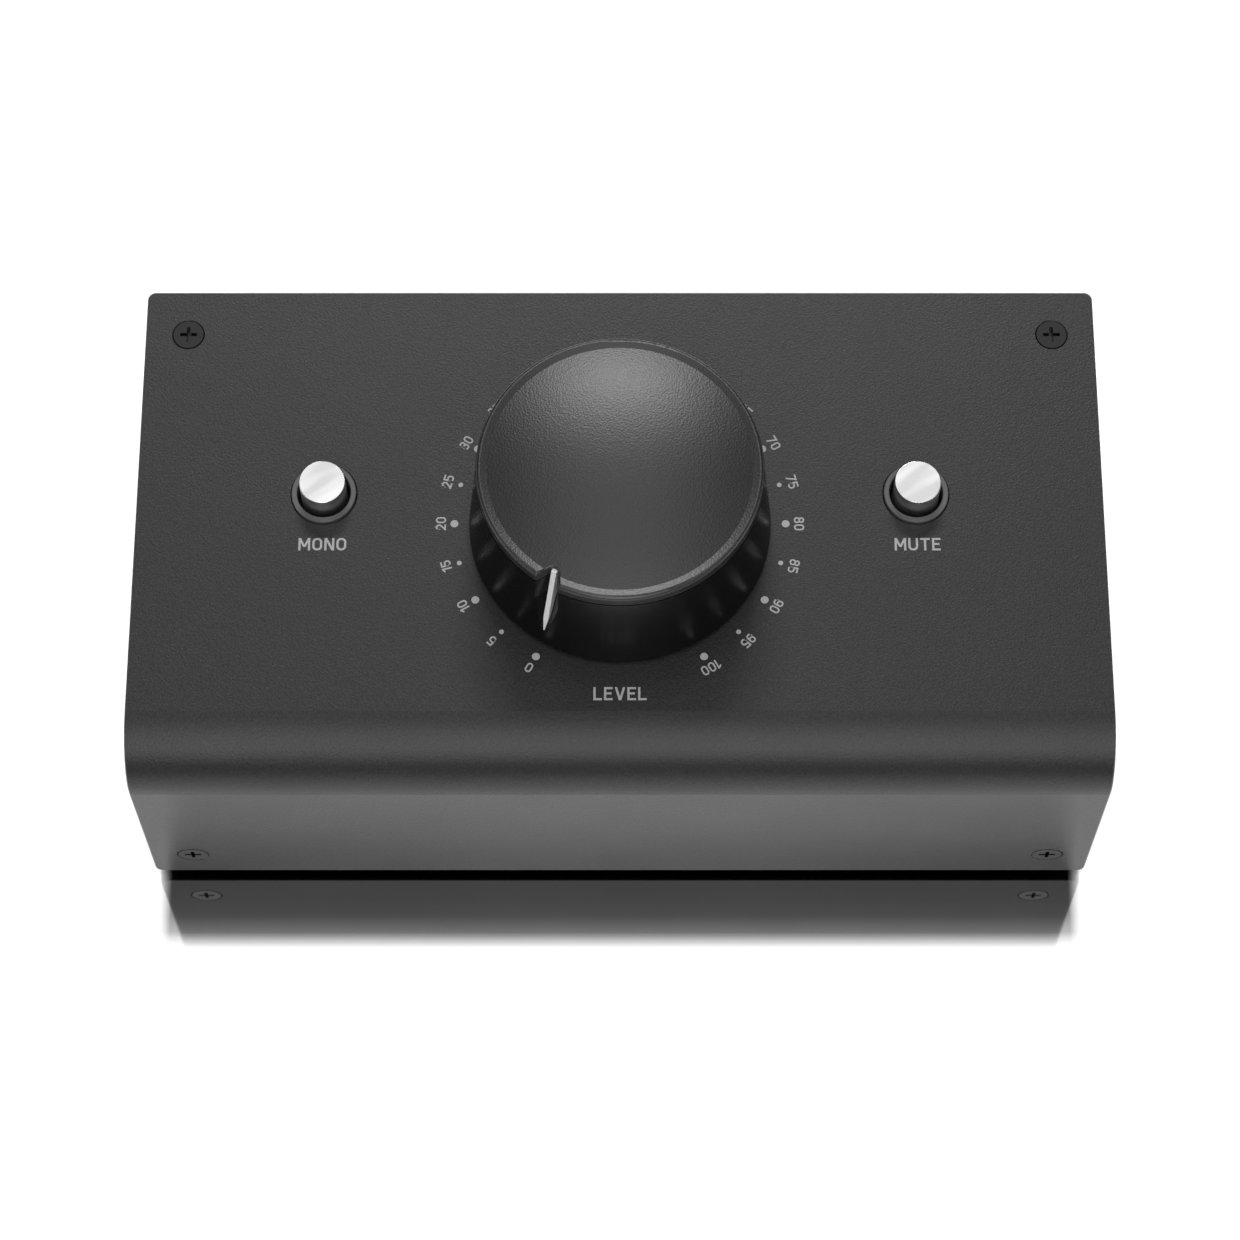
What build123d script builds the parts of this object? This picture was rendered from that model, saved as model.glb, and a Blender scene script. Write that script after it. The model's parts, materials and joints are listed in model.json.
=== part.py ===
from build123d import *
from math import atan2, cos, degrees, radians, sin, sqrt, tan
import os

# Desktop studio monitor controller: a folded metal case with one large level knob, two push buttons
# and a row of sockets on the back. Millimetres, +X right, +Y to the rear, +Z up. The origin is on the
# table under the middle of the whole object.

# ---------------------------------------------------------------- driving dimensions: case
case_width = 130.0
case_depth = 70.5
cover_height = 39.5
cover_thickness = 2.0
cover_bend_radius = 8.6
cover_corner_radius = 1.1
cover_edge_break = 0.2
cover_lip = 0.3
chassis_thickness = 1.2
chassis_inset = 0.7
chassis_bend_radius = 1.6
chassis_inner_bend_radius = 0.4
seat_gap = 0.1
tab_size = 10.0
rear_flange_width = 6.0
rear_panel_corner = 0.8
panel_screw_from_edge = 7.0
foot_height = 2.4
foot_radius = 5.0
foot_chamfer = 0.5
foot_inset = 12.0

# ---------------------------------------------------------------- driving dimensions: cover screws
screw_head_radius = 2.05
screw_shank_radius = 1.25
screw_length = 6.0
screw_head_angle = 90.0
screw_recess_depth = 0.9
screw_recess_length = 2.3
screw_recess_width = 0.5
screw_head_gap = 0.2
thread_gap = 0.02
top_screw_from_side = 5.85
top_screw_from_rear = 6.55
front_screw_from_side = 5.85
front_screw_from_edge = 6.8

# ---------------------------------------------------------------- driving dimensions: knob
knob_lift = 0.5
knob_foot_radius = 20.2
skirt_height = 15.5
skirt_top_radius = 18.8
skirt_wall = 3.0
skirt_plate = 3.4
skirt_foot_round = 0.3
hub_radius = 6.0
hub_clear = 0.9
hub_slit = 0.8
hub_slit_depth = 3.0
rib_count = 6
rib_thickness = 1.2
rib_depth = 2.5
rib_sink = 0.6
cap_inset = 0.05
cap_gap = 0.15
cap_side = 1.35
cap_round = 0.5
lip_angle = 12.0
lip_width = 0.85
dome_rise = 1.75
cap_seat_width = 2.4
cap_spigot_depth = 1.0
spigot_gap = 0.1
zero_angle = 30.0
notch_depth = 2.3
notch_angle = 60.0
notch_root_radius = 0.8
notch_rim_round = 0.3
notch_bend_height = 11.6
notch_end_height = 4.3
pointer_width = 0.7
pointer_tip_width = 0.15
pointer_proud = 0.5
pointer_tip_proud = 0.12
pointer_root = 0.7
pointer_drop = 0.5
pointer_taper_height = 7.0
pointer_tip_height = 4.5
pointer_gap = 0.03
grip_ring_thickness = 0.6
grip_ring_height = 2.4
grip_ring_gap = 2.0
grip_ring_clear = 0.05

# ---------------------------------------------------------------- driving dimensions: potentiometer
shaft_radius = 3.0
shaft_flat = 1.5
shaft_grip = 6.5
shaft_foot_radius = 2.0
shaft_clear = 0.05
bushing_radius = 3.5
bushing_hole_clear = 0.1
bushing_proud = 4.6
pot_plate_width = 17.0
pot_plate_thickness = 1.2
pot_body_height = 8.8
pot_corner = 2.0
pot_bore_radius = 7.4
pot_floor = 0.9
washer_radius = 6.0
washer_thickness = 0.6
pot_nut_flats = 10.0
pot_nut_thickness = 2.0
track_thickness = 0.6
track_opening = 60.0
wiper_radius = 6.4
wiper_thickness = 0.9
wiper_tip_height = 0.25
wiper_tip_radius = 0.5
wiper_tip_from_axis = 5.4
gang_count = 2
gang_pitch = 3.7
first_track_lift = 0.9

# ---------------------------------------------------------------- driving dimensions: buttons
button_place_x = 39.8
button_behind_dial = 4.4
button_radius = 3.1
button_proud = 3.4
button_length = 6.5
button_wall = 0.7
button_roof = 1.5
button_round = 0.12
button_travel = 2.5
bezel_bore_gap = 0.5
bezel_wall = 0.75
bezel_proud = 0.5
bezel_gap = 0.18
bezel_flange_width = 1.25
bezel_flange_thickness = 0.8
switch_width = 8.0
switch_height = 6.5
switch_corner = 0.6
plunger_clear = 0.05
plunger_in_well = 2.2
well_spare = 0.5
spring_wire_radius = 0.2
spring_side_gap = 0.22
spring_core_gap = 0.08
spring_turns = 4
spring_end_gap = 0.05
wire_sides = 6

# ---------------------------------------------------------------- driving dimensions: boards
board_thickness = 1.6
board_corner_radius = 1.5
control_board_side_gap = 11.1
control_board_front = 14.0
control_board_rear = 9.3
control_board_gap = 0.3
jack_board_lift = 1.9
jack_board_side_gap = 2.1
jack_board_depth = 31.5
jack_board_flange_gap = 0.3
pin_width = 0.7
pin_hole_clear = 0.15
pin_proud = 1.2
pot_pin_spacing_x = 5.0
pot_pin_spacing_y = 13.0
switch_pin_spacing_x = 5.0
switch_pin_spacing_y = 2.5
header_width = 12.6
header_depth = 5.0
header_height = 4.0
header_place_x = -14.0
upper_header_ahead = 6.0
lower_header_behind = 6.5
ribbon_width = 10.2
ribbon_thickness = 0.9
ribbon_bend_radius = 2.2
ribbon_straight = 4.6
resistor_count = 4
resistor_pitch = 4.2
resistor_radius = 1.15
resistor_waist_radius = 0.9
resistor_length = 6.4
resistor_band = 1.4
resistor_place_x = -27.5
resistor_lead_radius = 0.3
resistor_lead_reach = 1.9
resistor_lead_bend = 0.6
resistor_lead_hole_clear = 0.1
resistor_lift = 0.1

# ---------------------------------------------------------------- driving dimensions: sockets
combo_width = 24.4
combo_height = 25.0
combo_depth = 23.5
combo_corner = 1.5
combo_nose_margin = 1.0
combo_nose_proud = 0.8
combo_hole_clear = 0.15
combo_groove_inset = 1.5
combo_groove_width = 1.6
combo_groove_depth = 12.0
combo_face_recess = 1.2
combo_pin_radius = 1.3
combo_pin_from_axis = 5.6
combo_pin_depth = 10.0
combo_screw_inset = 2.2
rear_screw_radius = 1.2
rear_screw_head_radius = 2.3
rear_screw_head_height = 1.3
rear_screw_head_chamfer = 0.5
rear_screw_length = 7.0
rear_screw_hole_clear = 0.3
plug_bore_radius = 3.25
output_width = 12.0
output_above_axis = 6.5
output_depth = 22.0
output_corner = 1.0
output_nose_radius = 4.7
output_nose_proud = 4.5
output_hole_clear = 0.15
output_washer_radius = 6.8
output_washer_thickness = 0.6
output_nut_flats = 12.0
output_nut_thickness = 2.2
nut_gap = 0.04
nut_chamfer = 0.4
aux_width = 8.4
aux_height = 9.0
aux_depth = 12.5
aux_nose_radius = 2.95
aux_nose_proud = 2.6
aux_bore_radius = 1.8
aux_nut_radius = 4.0
aux_nut_thickness = 1.6
blade_width = 1.6
blade_thickness = 0.4
blade_rise = 9.0
blade_gap = 0.05
combo_blade_pitch = 7.0
combo_blade_from_wall = 4.5
output_blade_pitch = 7.5
output_blade_from_wall = 3.5
blade_rows = 3
aux_blade_pitch = 4.0
aux_blade_from_wall = 2.5
aux_blade_rise = 4.0

# ---------------------------------------------------------------- places worked out from the sizes
cover_bottom = foot_height - cover_lip
case_top = cover_bottom + cover_height
cover_under = case_top - cover_thickness
overall_depth = case_depth - chassis_inset + output_nose_proud
front_y = -overall_depth / 2
rear_y = front_y + case_depth
panel_y = rear_y - chassis_inset
wall_y = panel_y - chassis_thickness
dial_y = wall_y - combo_depth - control_board_gap - control_board_rear
half_width = case_width / 2
chassis_half_width = half_width - chassis_inset
chassis_inner_half = chassis_half_width - chassis_thickness
chassis_front_y = front_y + cover_thickness + seat_gap
chassis_top = cover_under - seat_gap
floor_top = foot_height + chassis_thickness

jack_board_top = floor_top + jack_board_lift + board_thickness
jack_axis_z = jack_board_top + combo_height / 2
aux_axis_z = jack_board_top + aux_height / 2
combo_nose_radius = min(combo_width, combo_height) / 2 - combo_nose_margin
combo_groove_outer = combo_nose_radius - combo_groove_inset
combo_groove_inner = combo_groove_outer - combo_groove_width

# The sockets stand in a row between the rear flanges with equal gaps, the first at +X.
socket_widths = [combo_width, combo_width, aux_width, output_width, output_width]
socket_span = 2 * (chassis_inner_half - rear_flange_width)
socket_gap = (socket_span - sum(socket_widths)) / (len(socket_widths) + 1)
socket_places = [
    socket_span / 2 - sum(socket_widths[:count]) - (count + 1) * socket_gap - width / 2
    for count, width in enumerate(socket_widths)
]
combo_places = socket_places[:2]
aux_place_x = socket_places[2]
output_places = socket_places[3:]

control_board_top = cover_under - pot_plate_thickness - pot_body_height
control_board_bottom = control_board_top - board_thickness
button_y = dial_y + button_behind_dial
bezel_top = case_top + bezel_proud
button_top = bezel_top + button_proud
button_bottom = button_top - button_length
bezel_bore_radius = button_radius + bezel_bore_gap
bezel_radius = bezel_bore_radius + bezel_wall
bezel_flange_radius = bezel_radius + bezel_flange_width
# the spring fits inside the hollow cap, and the square plunger inside the spring
spring_radius = button_radius - button_wall - spring_wire_radius - spring_side_gap
plunger_width = (spring_radius - spring_wire_radius - spring_core_gap) * sqrt(2)
switch_top = control_board_top + switch_height

top_screw_places = [
    (side * (half_width - top_screw_from_side), rear_y - top_screw_from_rear) for side in (-1, 1)
]
front_screw_places = [
    (side * (half_width - front_screw_from_side), cover_bottom + front_screw_from_edge)
    for side in (-1, 1)
]

# Seen from behind, local x runs to the right and local y runs up.
rear_plane = Plane(origin=(0, panel_y, 0), x_dir=(-1, 0, 0), z_dir=(0, 1, 0))
wall_plane = rear_plane.offset(-chassis_thickness)
front_plane = Plane(origin=(0, front_y, 0), x_dir=(1, 0, 0), z_dir=(0, -1, 0))
top_plane = Plane.XY.offset(case_top)

# Screw places on the back, in the local x and y of the rear plane.
combo_screw_x = combo_width / 2 - combo_screw_inset
combo_screw_z = combo_height / 2 - combo_screw_inset
combo_screw_places = [
    (-place + side * combo_screw_x, jack_axis_z - side * combo_screw_z)
    for place in combo_places
    for side in (-1, 1)
]
panel_screw_x = chassis_inner_half - rear_flange_width / 2
panel_screw_places = [
    (side * panel_screw_x, height)
    for side in (-1, 1)
    for height in (floor_top + panel_screw_from_edge, chassis_top - panel_screw_from_edge)
]

# The knob's own frame: local z is its axis, with its height counted from the top of the case.
knob_plane = Plane(origin=(0, dial_y, case_top))
knob_axis = Axis((0, dial_y, 0), (0, 0, 1))
pointer_out = Vector(-sin(radians(zero_angle)), -cos(radians(zero_angle)), 0)
up = Vector(0, 0, 1)

os.makedirs("parts", exist_ok=True)


def knob_point(radius, height):
    """A point of the knob in the upright plane through its pointer."""
    return Vector(0, dial_y, case_top) + pointer_out * radius + up * height


# ================================================================ case
# Top and front in one folded sheet, with rounded free corners.
with BuildPart() as top_cover:
    with BuildSketch(Plane.YZ) as cover_section:
        with BuildLine():
            Polyline(
                (rear_y, case_top),
                (front_y, case_top),
                (front_y, cover_bottom),
                (front_y + cover_thickness, cover_bottom),
                (front_y + cover_thickness, cover_under),
                (rear_y, cover_under),
                close=True,
            )
        make_face()
        outer_corner = cover_section.vertices().sort_by_distance((front_y, case_top))[0]
        fillet(outer_corner, cover_bend_radius)
        inner_corner = cover_section.vertices().sort_by_distance(
            (front_y + cover_thickness, cover_under)
        )[0]
        fillet(inner_corner, cover_bend_radius - cover_thickness)
    extrude(amount=half_width, both=True)
    rear_corners = top_cover.edges().filter_by(Axis.Z).group_by(Axis.Y)[-1]
    lower_corners = top_cover.edges().filter_by(Axis.Y).group_by(Axis.Z)[0]
    fillet(rear_corners + lower_corners, cover_corner_radius)
    # break the rim of the outside skin, but not the lines where its bend begins and ends
    top_face = top_cover.faces().filter_by(Axis.Z).sort_by(Axis.Z)[-1]
    front_face = top_cover.faces().filter_by(Axis.Y).sort_by(Axis.Y)[0]
    bend_face = top_cover.faces().filter_by(GeomType.CYLINDER).sort_by(SortBy.RADIUS)[-1]
    skin_edges = top_face.edges() + front_face.edges() + bend_face.edges()
    chamfer([edge for edge in skin_edges if skin_edges.count(edge) == 1], cover_edge_break)
    # countersunk screw holes, two on the top and two on the front
    with Locations(top_plane):
        with Locations(*top_screw_places):
            CounterSinkHole(
                screw_shank_radius + screw_head_gap,
                screw_head_radius + screw_head_gap,
                cover_thickness,
                screw_head_angle,
            )
    with Locations(front_plane):
        with Locations(*front_screw_places):
            CounterSinkHole(
                screw_shank_radius + screw_head_gap,
                screw_head_radius + screw_head_gap,
                cover_thickness,
                screw_head_angle,
            )
    # bushing hole and the two bezel holes
    with Locations(top_plane):
        with Locations((0, dial_y)):
            Hole(bushing_radius + bushing_hole_clear, cover_thickness)
        with Locations((-button_place_x, button_y), (button_place_x, button_y)):
            Hole(bezel_radius + bezel_gap, cover_thickness)
top_cover.part.label = "top_cover"
export_step(top_cover.part, "parts/top_cover.step")

# Floor and side walls in one folded tray, with tabs for the cover's screws in front and on top and a
# flange behind each side wall for the back panel.
with BuildPart() as base_chassis:
    with BuildSketch(Plane.YZ) as side_outline:
        with BuildLine():
            Polyline(
                (wall_y, foot_height),
                (wall_y, chassis_top),
                (chassis_front_y, chassis_top),
                (chassis_front_y, foot_height),
                close=True,
            )
        make_face()
        outline_corner = side_outline.vertices().sort_by_distance((chassis_front_y, chassis_top))[0]
        fillet(outline_corner, cover_bend_radius - cover_thickness - seat_gap)
    extrude(amount=chassis_half_width, both=True)
    floor_edges = base_chassis.edges().filter_by(Axis.Y).group_by(Axis.Z)[0]
    back_edges = base_chassis.edges().filter_by(Axis.Z).group_by(Axis.Y)[-1]
    fillet(floor_edges + back_edges, chassis_bend_radius)
    flange_y = wall_y - chassis_thickness
    with BuildPart(mode=Mode.PRIVATE) as tray_space:
        with BuildSketch(Plane.XY.offset(floor_top)):
            with Locations((0, (flange_y + front_y) / 2)):
                Rectangle(2 * chassis_inner_half, flange_y - front_y)
        extrude(amount=case_top - floor_top)
        tray_edges = tray_space.edges().filter_by(Axis.Y).group_by(Axis.Z)[0]
        tray_edges += tray_space.edges().filter_by(Axis.Z).group_by(Axis.Y)[-1]
        fillet(tray_edges, chassis_inner_bend_radius)
    add(tray_space.part, mode=Mode.SUBTRACT)
    with BuildSketch(wall_plane):
        with Locations((0, (floor_top + case_top) / 2)):
            Rectangle(2 * (chassis_inner_half - rear_flange_width), case_top - floor_top)
    extrude(amount=-2 * chassis_thickness, mode=Mode.SUBTRACT)
    # tabs bent inward from the side walls, with tapped holes
    tab_x = chassis_inner_half + chassis_thickness / 2 - tab_size / 2
    with BuildSketch(Plane.XY.offset(chassis_top)):
        with Locations((-tab_x, wall_y - tab_size / 2), (tab_x, wall_y - tab_size / 2)):
            Rectangle(tab_size, tab_size)
    extrude(amount=-chassis_thickness)
    with BuildSketch(Plane.XZ.offset(-chassis_front_y)):
        tab_z = cover_bottom + front_screw_from_edge
        with Locations((-tab_x, tab_z), (tab_x, tab_z)):
            Rectangle(tab_size, tab_size)
    extrude(amount=-chassis_thickness)
    with Locations(Plane.XY.offset(chassis_top)):
        with Locations(*top_screw_places):
            Hole(screw_shank_radius + thread_gap, chassis_thickness)
    with Locations(Plane.XZ.offset(-chassis_front_y)):
        with Locations(*front_screw_places):
            Hole(screw_shank_radius + thread_gap, chassis_thickness)
    with Locations(wall_plane):
        with Locations(*panel_screw_places):
            Hole(rear_screw_radius + thread_gap, chassis_thickness)
base_chassis.part.label = "base_chassis"
export_step(base_chassis.part, "parts/base_chassis.step")

# Flat back panel with the socket openings, screwed to the tray's flanges.
with BuildPart() as rear_panel:
    with BuildSketch(rear_plane):
        with Locations((0, (foot_height + chassis_top) / 2)):
            RectangleRounded(2 * chassis_half_width, chassis_top - foot_height, rear_panel_corner)
        for place in combo_places:
            with Locations((-place, jack_axis_z)):
                Circle(combo_nose_radius + combo_hole_clear, mode=Mode.SUBTRACT)
        for place in output_places:
            with Locations((-place, jack_axis_z)):
                Circle(output_nose_radius + output_hole_clear, mode=Mode.SUBTRACT)
        with Locations((-aux_place_x, aux_axis_z)):
            Circle(aux_nose_radius + output_hole_clear, mode=Mode.SUBTRACT)
        with Locations(*combo_screw_places, *panel_screw_places):
            Circle(rear_screw_radius + rear_screw_hole_clear, mode=Mode.SUBTRACT)
    extrude(amount=-chassis_thickness)
    panel_rim = rear_panel.faces().sort_by(Axis.Y)[-1].outer_wire().edges()
    chamfer(panel_rim, cover_edge_break)
rear_panel.part.label = "rear_panel"
export_step(rear_panel.part, "parts/rear_panel.step")

# Four countersunk cross-head screws, heads flush with the cover.
screw_seats = [
    Plane(origin=(x, y, case_top), x_dir=(1, 0, 0), z_dir=(0, 0, 1)) for x, y in top_screw_places
]
screw_seats += [
    Plane(origin=(x, front_y, z), x_dir=(1, 0, 0), z_dir=(0, -1, 0)) for x, z in front_screw_places
]
with BuildPart() as cover_screws:
    for seat in screw_seats:
        with BuildSketch(seat):
            Circle(screw_shank_radius)
        extrude(amount=-screw_length)
        with BuildSketch(seat):
            Circle(screw_head_radius)
        head_height = (screw_head_radius - screw_shank_radius) / tan(radians(screw_head_angle / 2))
        extrude(amount=-head_height, taper=screw_head_angle / 2)
        with BuildSketch(seat):
            Rectangle(screw_recess_length, screw_recess_width)
            Rectangle(screw_recess_width, screw_recess_length)
        extrude(amount=-screw_recess_depth, mode=Mode.SUBTRACT)
cover_screws.part.label = "cover_screws"
export_step(cover_screws.part, "parts/cover_screws.step")

# Four rubber feet stuck under the floor.
with BuildPart() as rubber_feet:
    foot_span_y = panel_y - chassis_front_y - 2 * foot_inset
    with BuildSketch(Plane.XY):
        with Locations((0, (panel_y + chassis_front_y) / 2)):
            with GridLocations(2 * (chassis_half_width - foot_inset), foot_span_y, 2, 2):
                Circle(foot_radius)
    extrude(amount=foot_height)
    chamfer(rubber_feet.edges().group_by(Axis.Z)[0], foot_chamfer)
rubber_feet.part.label = "rubber_feet"
export_step(rubber_feet.part, "parts/rubber_feet.step")

# ================================================================ knob
skirt_top = knob_lift + skirt_height
hub_bottom = bushing_proud + hub_clear
plate_bottom = skirt_top - cap_spigot_depth - skirt_plate
shaft_top = hub_bottom + shaft_grip
skirt_slope = (knob_foot_radius - skirt_top_radius) / skirt_height
cap_radius = skirt_top_radius - cap_inset
cap_seat_radius = skirt_top_radius - cap_seat_width


def skirt_radius(height):
    """Outer radius of the skirt at a height above the case."""
    return knob_foot_radius - skirt_slope * (height - knob_lift)


# The notch's root goes straight down from the rim to a bend, and from there out through the skirt.
cap_bottom = skirt_top + cap_gap
cap_side_top = cap_bottom + cap_side
crest = cap_side_top + cap_round
root_top = knob_point(cap_radius - notch_depth, crest + cap_round)
root_bend = knob_point(skirt_radius(notch_bend_height) - notch_depth, notch_bend_height)
root_end = knob_point(skirt_radius(notch_end_height), notch_end_height)
knob_section = Plane(origin=(0, dial_y, case_top), x_dir=pointer_out, z_dir=pointer_out.cross(up))
pointer_front = Plane(origin=(0, dial_y, case_top), x_dir=up.cross(pointer_out), z_dir=pointer_out)

# The V-shaped space of the notch, cut alike from the cap and the skirt.
with BuildPart() as notch_space:
    mouth = 3 * notch_depth
    half_mouth = mouth * tan(radians(notch_angle / 2))
    apex_behind_root = notch_root_radius / sin(radians(notch_angle / 2)) - notch_root_radius
    for root_point in (root_top, root_bend, 2 * root_end - root_bend):
        apex = root_point - pointer_out * apex_behind_root
        with BuildSketch(Plane(origin=apex, x_dir=pointer_out, z_dir=up)) as notch_profile:
            with BuildLine():
                Polyline((0, 0), (mouth, half_mouth), (mouth, -half_mouth), close=True)
            make_face()
            fillet(notch_profile.vertices().sort_by_distance((0, 0))[0], notch_root_radius)
    loft(ruled=True)


def pointer_blade(gap):
    """The pointer's blade, grown on every side by a gap for the slot that holds it."""
    top = crest - pointer_drop
    top_radius = cap_radius - notch_depth
    bend_radius = skirt_radius(notch_bend_height) - notch_depth
    tip_radius = skirt_radius(pointer_tip_height) + pointer_tip_proud
    half = pointer_width / 2 + gap
    half_tip = pointer_tip_width / 2 + gap
    with BuildPart() as blade:
        with BuildSketch(knob_section):
            with BuildLine():
                Polyline(
                    (top_radius - pointer_root, top),
                    (top_radius + pointer_proud, top),
                    (tip_radius, pointer_tip_height),
                    (tip_radius - pointer_root, pointer_tip_height),
                    (bend_radius - pointer_root, notch_bend_height),
                    close=True,
                )
            make_face()
            offset(amount=gap, kind=Kind.INTERSECTION)
        extrude(amount=half, both=True)
        # seen from outside it narrows to a point
        with BuildSketch(pointer_front):
            with BuildLine():
                Polyline(
                    (-half, crest),
                    (half, crest),
                    (half, pointer_taper_height),
                    (half_tip, pointer_tip_height - gap),
                    (-half_tip, pointer_tip_height - gap),
                    (-half, pointer_taper_height),
                    close=True,
                )
            make_face()
        extrude(amount=2 * knob_foot_radius, mode=Mode.INTERSECT)
    return blade


pointer_slot = pointer_blade(pointer_gap)

# Tapered skirt with its hub and ribs.
with BuildPart() as knob_skirt:
    with BuildSketch(knob_section):
        with BuildLine():
            Polyline(
                (0, skirt_top - cap_spigot_depth),
                (cap_seat_radius, skirt_top - cap_spigot_depth),
                (cap_seat_radius, skirt_top),
                (skirt_top_radius, skirt_top),
                (knob_foot_radius, knob_lift),
                (knob_foot_radius - skirt_wall, knob_lift),
                (skirt_radius(plate_bottom) - skirt_wall, plate_bottom),
                (hub_radius, plate_bottom),
                (hub_radius, hub_bottom),
                (0, hub_bottom),
                close=True,
            )
        make_face()
    revolve(axis=knob_axis)
    foot_edge = knob_skirt.edges().filter_by(GeomType.CIRCLE).sort_by(
        lambda edge: -edge.radius
    )[0]
    fillet(foot_edge, skirt_foot_round)
    rib_start = hub_radius - rib_sink
    rib_end = skirt_radius(plate_bottom - rib_depth) - skirt_wall + rib_sink
    with Locations((0, dial_y, case_top + plate_bottom - rib_depth / 2)):
        with PolarLocations((rib_start + rib_end) / 2, rib_count):
            Box(rib_end - rib_start, rib_thickness, rib_depth)
    # blind D-shaped bore for the shaft, and the slits that let the hub grip it
    with BuildSketch(knob_plane.offset(hub_bottom)):
        Circle(shaft_radius + shaft_clear)
        with Locations((shaft_flat + shaft_clear + shaft_radius, 0)):
            Rectangle(2 * shaft_radius, 4 * shaft_radius, mode=Mode.SUBTRACT)
    extrude(amount=shaft_grip + shaft_clear, mode=Mode.SUBTRACT)
    with BuildSketch(knob_plane.offset(hub_bottom)):
        Rectangle(hub_slit, 2 * hub_radius + hub_slit)
    extrude(amount=hub_slit_depth, mode=Mode.SUBTRACT)
    add(notch_space.part, mode=Mode.SUBTRACT)
    add(pointer_slot.part, mode=Mode.SUBTRACT)
knob_skirt.part.label = "knob_skirt"
export_step(knob_skirt.part, "parts/knob_skirt.step")

# Cap with a thin raised lip around a shallow dome.
lip_centre = cap_radius - cap_round
lip_slope = radians(lip_angle)
lip_start = lip_centre - cap_round * sin(lip_slope)
lip_start_height = cap_side_top + cap_round * cos(lip_slope)
dome_edge = lip_start - lip_width
dome_edge_height = lip_start_height - lip_width * tan(lip_slope)
dome_top = dome_edge_height + dome_rise
dome_slope = 2 * atan2(dome_rise, dome_edge)
dome_radius = dome_edge / sin(dome_slope)
with BuildPart() as knob_cap:
    with BuildSketch(knob_section):
        with BuildLine():
            Polyline(
                (0, dome_top),
                (0, skirt_top - cap_spigot_depth),
                (cap_seat_radius - spigot_gap, skirt_top - cap_spigot_depth),
                (cap_seat_radius - spigot_gap, cap_bottom),
                (cap_radius, cap_bottom),
                (cap_radius, cap_side_top),
            )
            CenterArc((lip_centre, cap_side_top), cap_round, 0, 90 + lip_angle)
            Line((lip_start, lip_start_height), (dome_edge, dome_edge_height))
            CenterArc(
                (0, dome_top - dome_radius),
                dome_radius,
                90 - degrees(dome_slope),
                degrees(dome_slope),
            )
        make_face()
    revolve(axis=knob_axis)
    add(notch_space.part, mode=Mode.SUBTRACT)
    # round the notch's rim, but not where it meets the underside
    notch_edges = knob_cap.edges(Select.NEW)
    fillet(notch_edges - notch_edges.group_by(Axis.Z)[0], notch_rim_round)
    add(pointer_slot.part, mode=Mode.SUBTRACT)
knob_cap.part.label = "knob_cap"
export_step(knob_cap.part, "parts/knob_cap.step")

knob_pointer = pointer_blade(0)
knob_pointer.part.label = "knob_pointer"
export_step(knob_pointer.part, "parts/knob_pointer.step")

# Split spring ring that closes the slit hub on the shaft.
with BuildPart() as knob_grip_ring:
    ring_inner = hub_radius + grip_ring_clear
    with BuildSketch(knob_plane.offset(hub_bottom)):
        Circle(ring_inner + grip_ring_thickness)
        Circle(ring_inner, mode=Mode.SUBTRACT)
        with Locations((ring_inner, 0)):
            Rectangle(4 * grip_ring_thickness, grip_ring_gap, mode=Mode.SUBTRACT)
    extrude(amount=grip_ring_height)
knob_grip_ring.part.label = "knob_grip_ring"
export_step(knob_grip_ring.part, "parts/knob_grip_ring.step")

# ================================================================ potentiometer
pot_plate_bottom = -cover_thickness - pot_plate_thickness
pot_cavity_bottom = pot_plate_bottom - pot_body_height + pot_floor
track_heights = [
    pot_cavity_bottom + first_track_lift + gang * gang_pitch for gang in range(gang_count)
]

# Shaft with a flat for the knob and a thinner foot that carries the wipers.
with BuildPart() as pot_shaft:
    with BuildSketch(knob_plane.offset(pot_plate_bottom)):
        Circle(shaft_radius)
    extrude(amount=shaft_top - pot_plate_bottom)
    with BuildSketch(knob_plane.offset(hub_bottom)):
        with Locations((shaft_flat + shaft_radius, 0)):
            Rectangle(2 * shaft_radius, 4 * shaft_radius)
    extrude(amount=shaft_grip, mode=Mode.SUBTRACT)
    with BuildSketch(knob_plane.offset(pot_plate_bottom)):
        Circle(shaft_foot_radius)
    extrude(amount=pot_cavity_bottom + shaft_clear - pot_plate_bottom)
pot_shaft.part.label = "pot_shaft"
export_step(pot_shaft.part, "parts/pot_shaft.step")

# One wiper disc for each gang, with two contact tips that reach the track below.
with BuildPart() as pot_wipers:
    for track_height in track_heights:
        wiper_bottom = track_height + track_thickness + wiper_tip_height + shaft_clear
        with BuildSketch(knob_plane.offset(wiper_bottom)):
            Circle(wiper_radius)
            Circle(shaft_foot_radius + thread_gap, mode=Mode.SUBTRACT)
        extrude(amount=wiper_thickness)
        with BuildSketch(knob_plane.offset(wiper_bottom)):
            with PolarLocations(wiper_tip_from_axis, 2):
                Circle(wiper_tip_radius)
        extrude(amount=-wiper_tip_height)
pot_wipers.part.label = "pot_wipers"
export_step(pot_wipers.part, "parts/pot_wipers.step")

# Horseshoe resistance tracks seated against the wall of the can.
with BuildPart() as pot_tracks:
    for track_height in track_heights:
        with BuildSketch(knob_plane.offset(track_height)):
            Circle(pot_bore_radius - shaft_clear)
            Circle(shaft_radius, mode=Mode.SUBTRACT)
            half_opening = pot_bore_radius * tan(radians(track_opening / 2))
            with BuildLine():
                Polyline(
                    (0, 0), (half_opening, -pot_bore_radius), (-half_opening, -pot_bore_radius),
                    close=True,
                )
            make_face(mode=Mode.SUBTRACT)
        extrude(amount=track_thickness)
pot_tracks.part.label = "pot_tracks"
export_step(pot_tracks.part, "parts/pot_tracks.step")

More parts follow.
